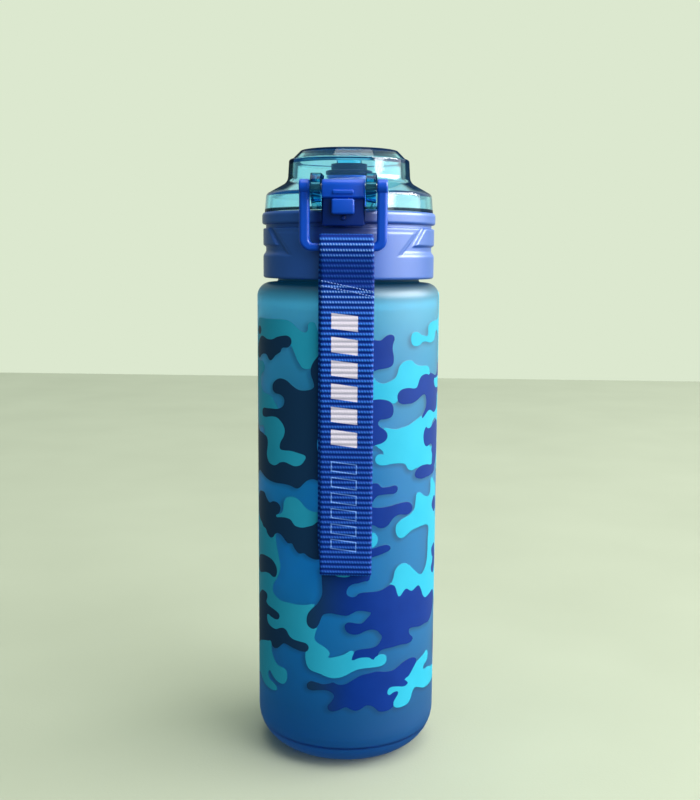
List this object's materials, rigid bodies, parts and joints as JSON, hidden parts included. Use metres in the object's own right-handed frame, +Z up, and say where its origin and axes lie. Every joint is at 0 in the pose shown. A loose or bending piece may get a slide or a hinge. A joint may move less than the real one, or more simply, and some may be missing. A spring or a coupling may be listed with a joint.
{
  "type": "water bottle",
  "caption": "Tall cylindrical drinking bottle with a screw lid, hinged clear spout cover, front latch, swinging lock bail and a webbing carry strap.",
  "frame": {"origin": "centre of the foot ring, on the plane the bottle stands on", "axes": "+Z up along the bottle's axis, latch and strap towards -Y, cover hinge towards +Y, +X to the right seen from the latch side"},
  "size_m": [0.074, 0.0855, 0.2462],
  "materials": {
    "frosted_body": "frosted clear plastic, tinted blue",
    "blue_matte": "fine satin moulded plastic",
    "blue_gloss": "glossy moulded plastic",
    "clear_teal": "clear plastic, tinted teal",
    "silicone": "soft dark silicone",
    "silicone_light": "soft translucent silicone",
    "steel": "bright drawn wire",
    "webbing": "ribbed polyester webbing",
    "thread": "sewing thread"
  },
  "bodies": {
    "bottle": {"bottle_body": "frosted_body"},
    "seal": {"neck_seal_ring": "silicone_light"},
    "lid": {"lid_collar": "blue_matte", "inner_cap": "blue_matte", "air_valve": "silicone_light", "hinge_pin": "steel", "hinge_spring": "steel"},
    "cover": {"dust_cover": "clear_teal", "spout_plug": "silicone", "latch_pin": "steel", "latch_spring": "steel"},
    "latch": {"latch": "blue_gloss"},
    "bail": {"lock_bail": "blue_gloss"},
    "strap": {"carry_strap": "webbing", "strap_stitches": "thread"}
  },
  "joints": [
    {"name": "lid_rise", "type": "slide", "parent": "bottle", "child": "seal", "axis": [0, 0, 1], "range_m": [0, 0.00563]},
    {"name": "lid_unscrew", "type": "hinge", "parent": "seal", "child": "lid", "pos_m": [0, 0, 0.2], "axis": [0, 0, 1], "range_deg": [0, 450]},
    {"name": "cover_open", "type": "hinge", "parent": "lid", "child": "cover", "pos_m": [0, 0.0376, 0.2245], "axis": [-1, 0, 0], "range_deg": [0, 160], "deforming": ["hinge_spring"]},
    {"name": "latch_release", "type": "hinge", "parent": "cover", "child": "latch", "pos_m": [0, -0.0389, 0.2294], "axis": [-1, 0, 0], "range_deg": [0, 28], "stiffness_Nm_per_rad": 0.005, "springref_deg": -20.05, "deforming": ["latch_spring"]},
    {"name": "bail_swing", "type": "hinge", "parent": "cover", "child": "bail", "pos_m": [0, -0.0389, 0.2294], "axis": [-1, 0, 0], "range_deg": [0, 150]},
    {"name": "strap_swing", "type": "hinge", "parent": "bail", "child": "strap", "pos_m": [0, -0.0389, 0.2075], "axis": [-1, 0, 0], "range_deg": [0, 75]}
  ],
  "couplings": [
    {"joint": "lid_rise", "follows": "lid_unscrew", "m_per_rad": 0.0007162}
  ]
}
